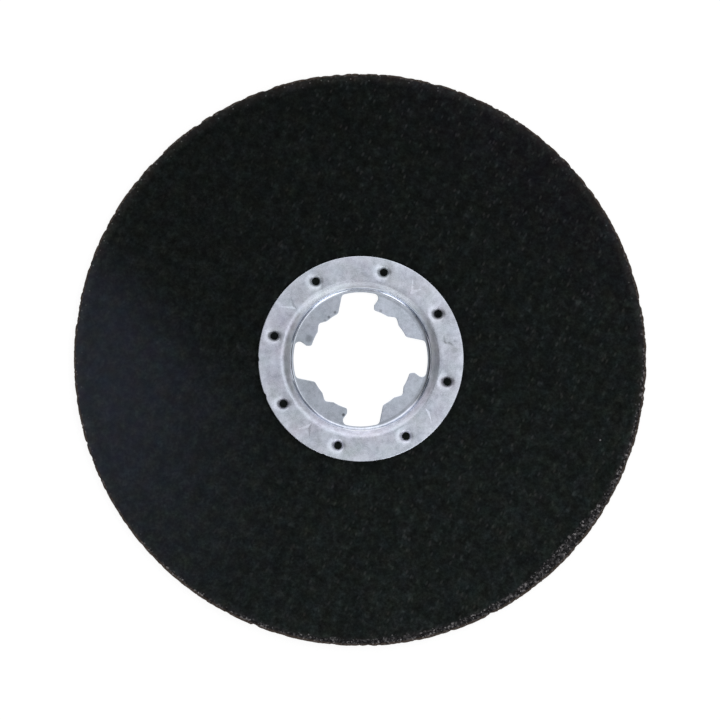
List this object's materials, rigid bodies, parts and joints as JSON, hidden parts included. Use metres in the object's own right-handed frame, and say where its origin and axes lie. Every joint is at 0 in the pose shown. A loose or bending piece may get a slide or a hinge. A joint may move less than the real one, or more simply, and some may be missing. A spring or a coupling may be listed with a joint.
{
  "type": "cut-off wheel",
  "caption": "Thin round abrasive cutting disc on a stamped sheet-steel drive hub with a drawn cup, hooked and notched tabs and cross slots for a quick-change spindle.",
  "frame": {"origin": "on the wheel's axis, in the plane of the lower face of the hub's tabs, on which the wheel rests", "axes": "+Z along the wheel's axis towards the flange side, X and Y along the hub's cross slots"},
  "size_m": [0.125, 0.125, 0.0045],
  "materials": {
    "abrasive": "rough resin-bonded grain with glass-mesh relief, near black",
    "plated_steel": "bright zinc plate, faintly mottled"
  },
  "bodies": {
    "root": {"abrasive_disc": "abrasive", "drive_hub": "plated_steel"}
  },
  "joints": []
}
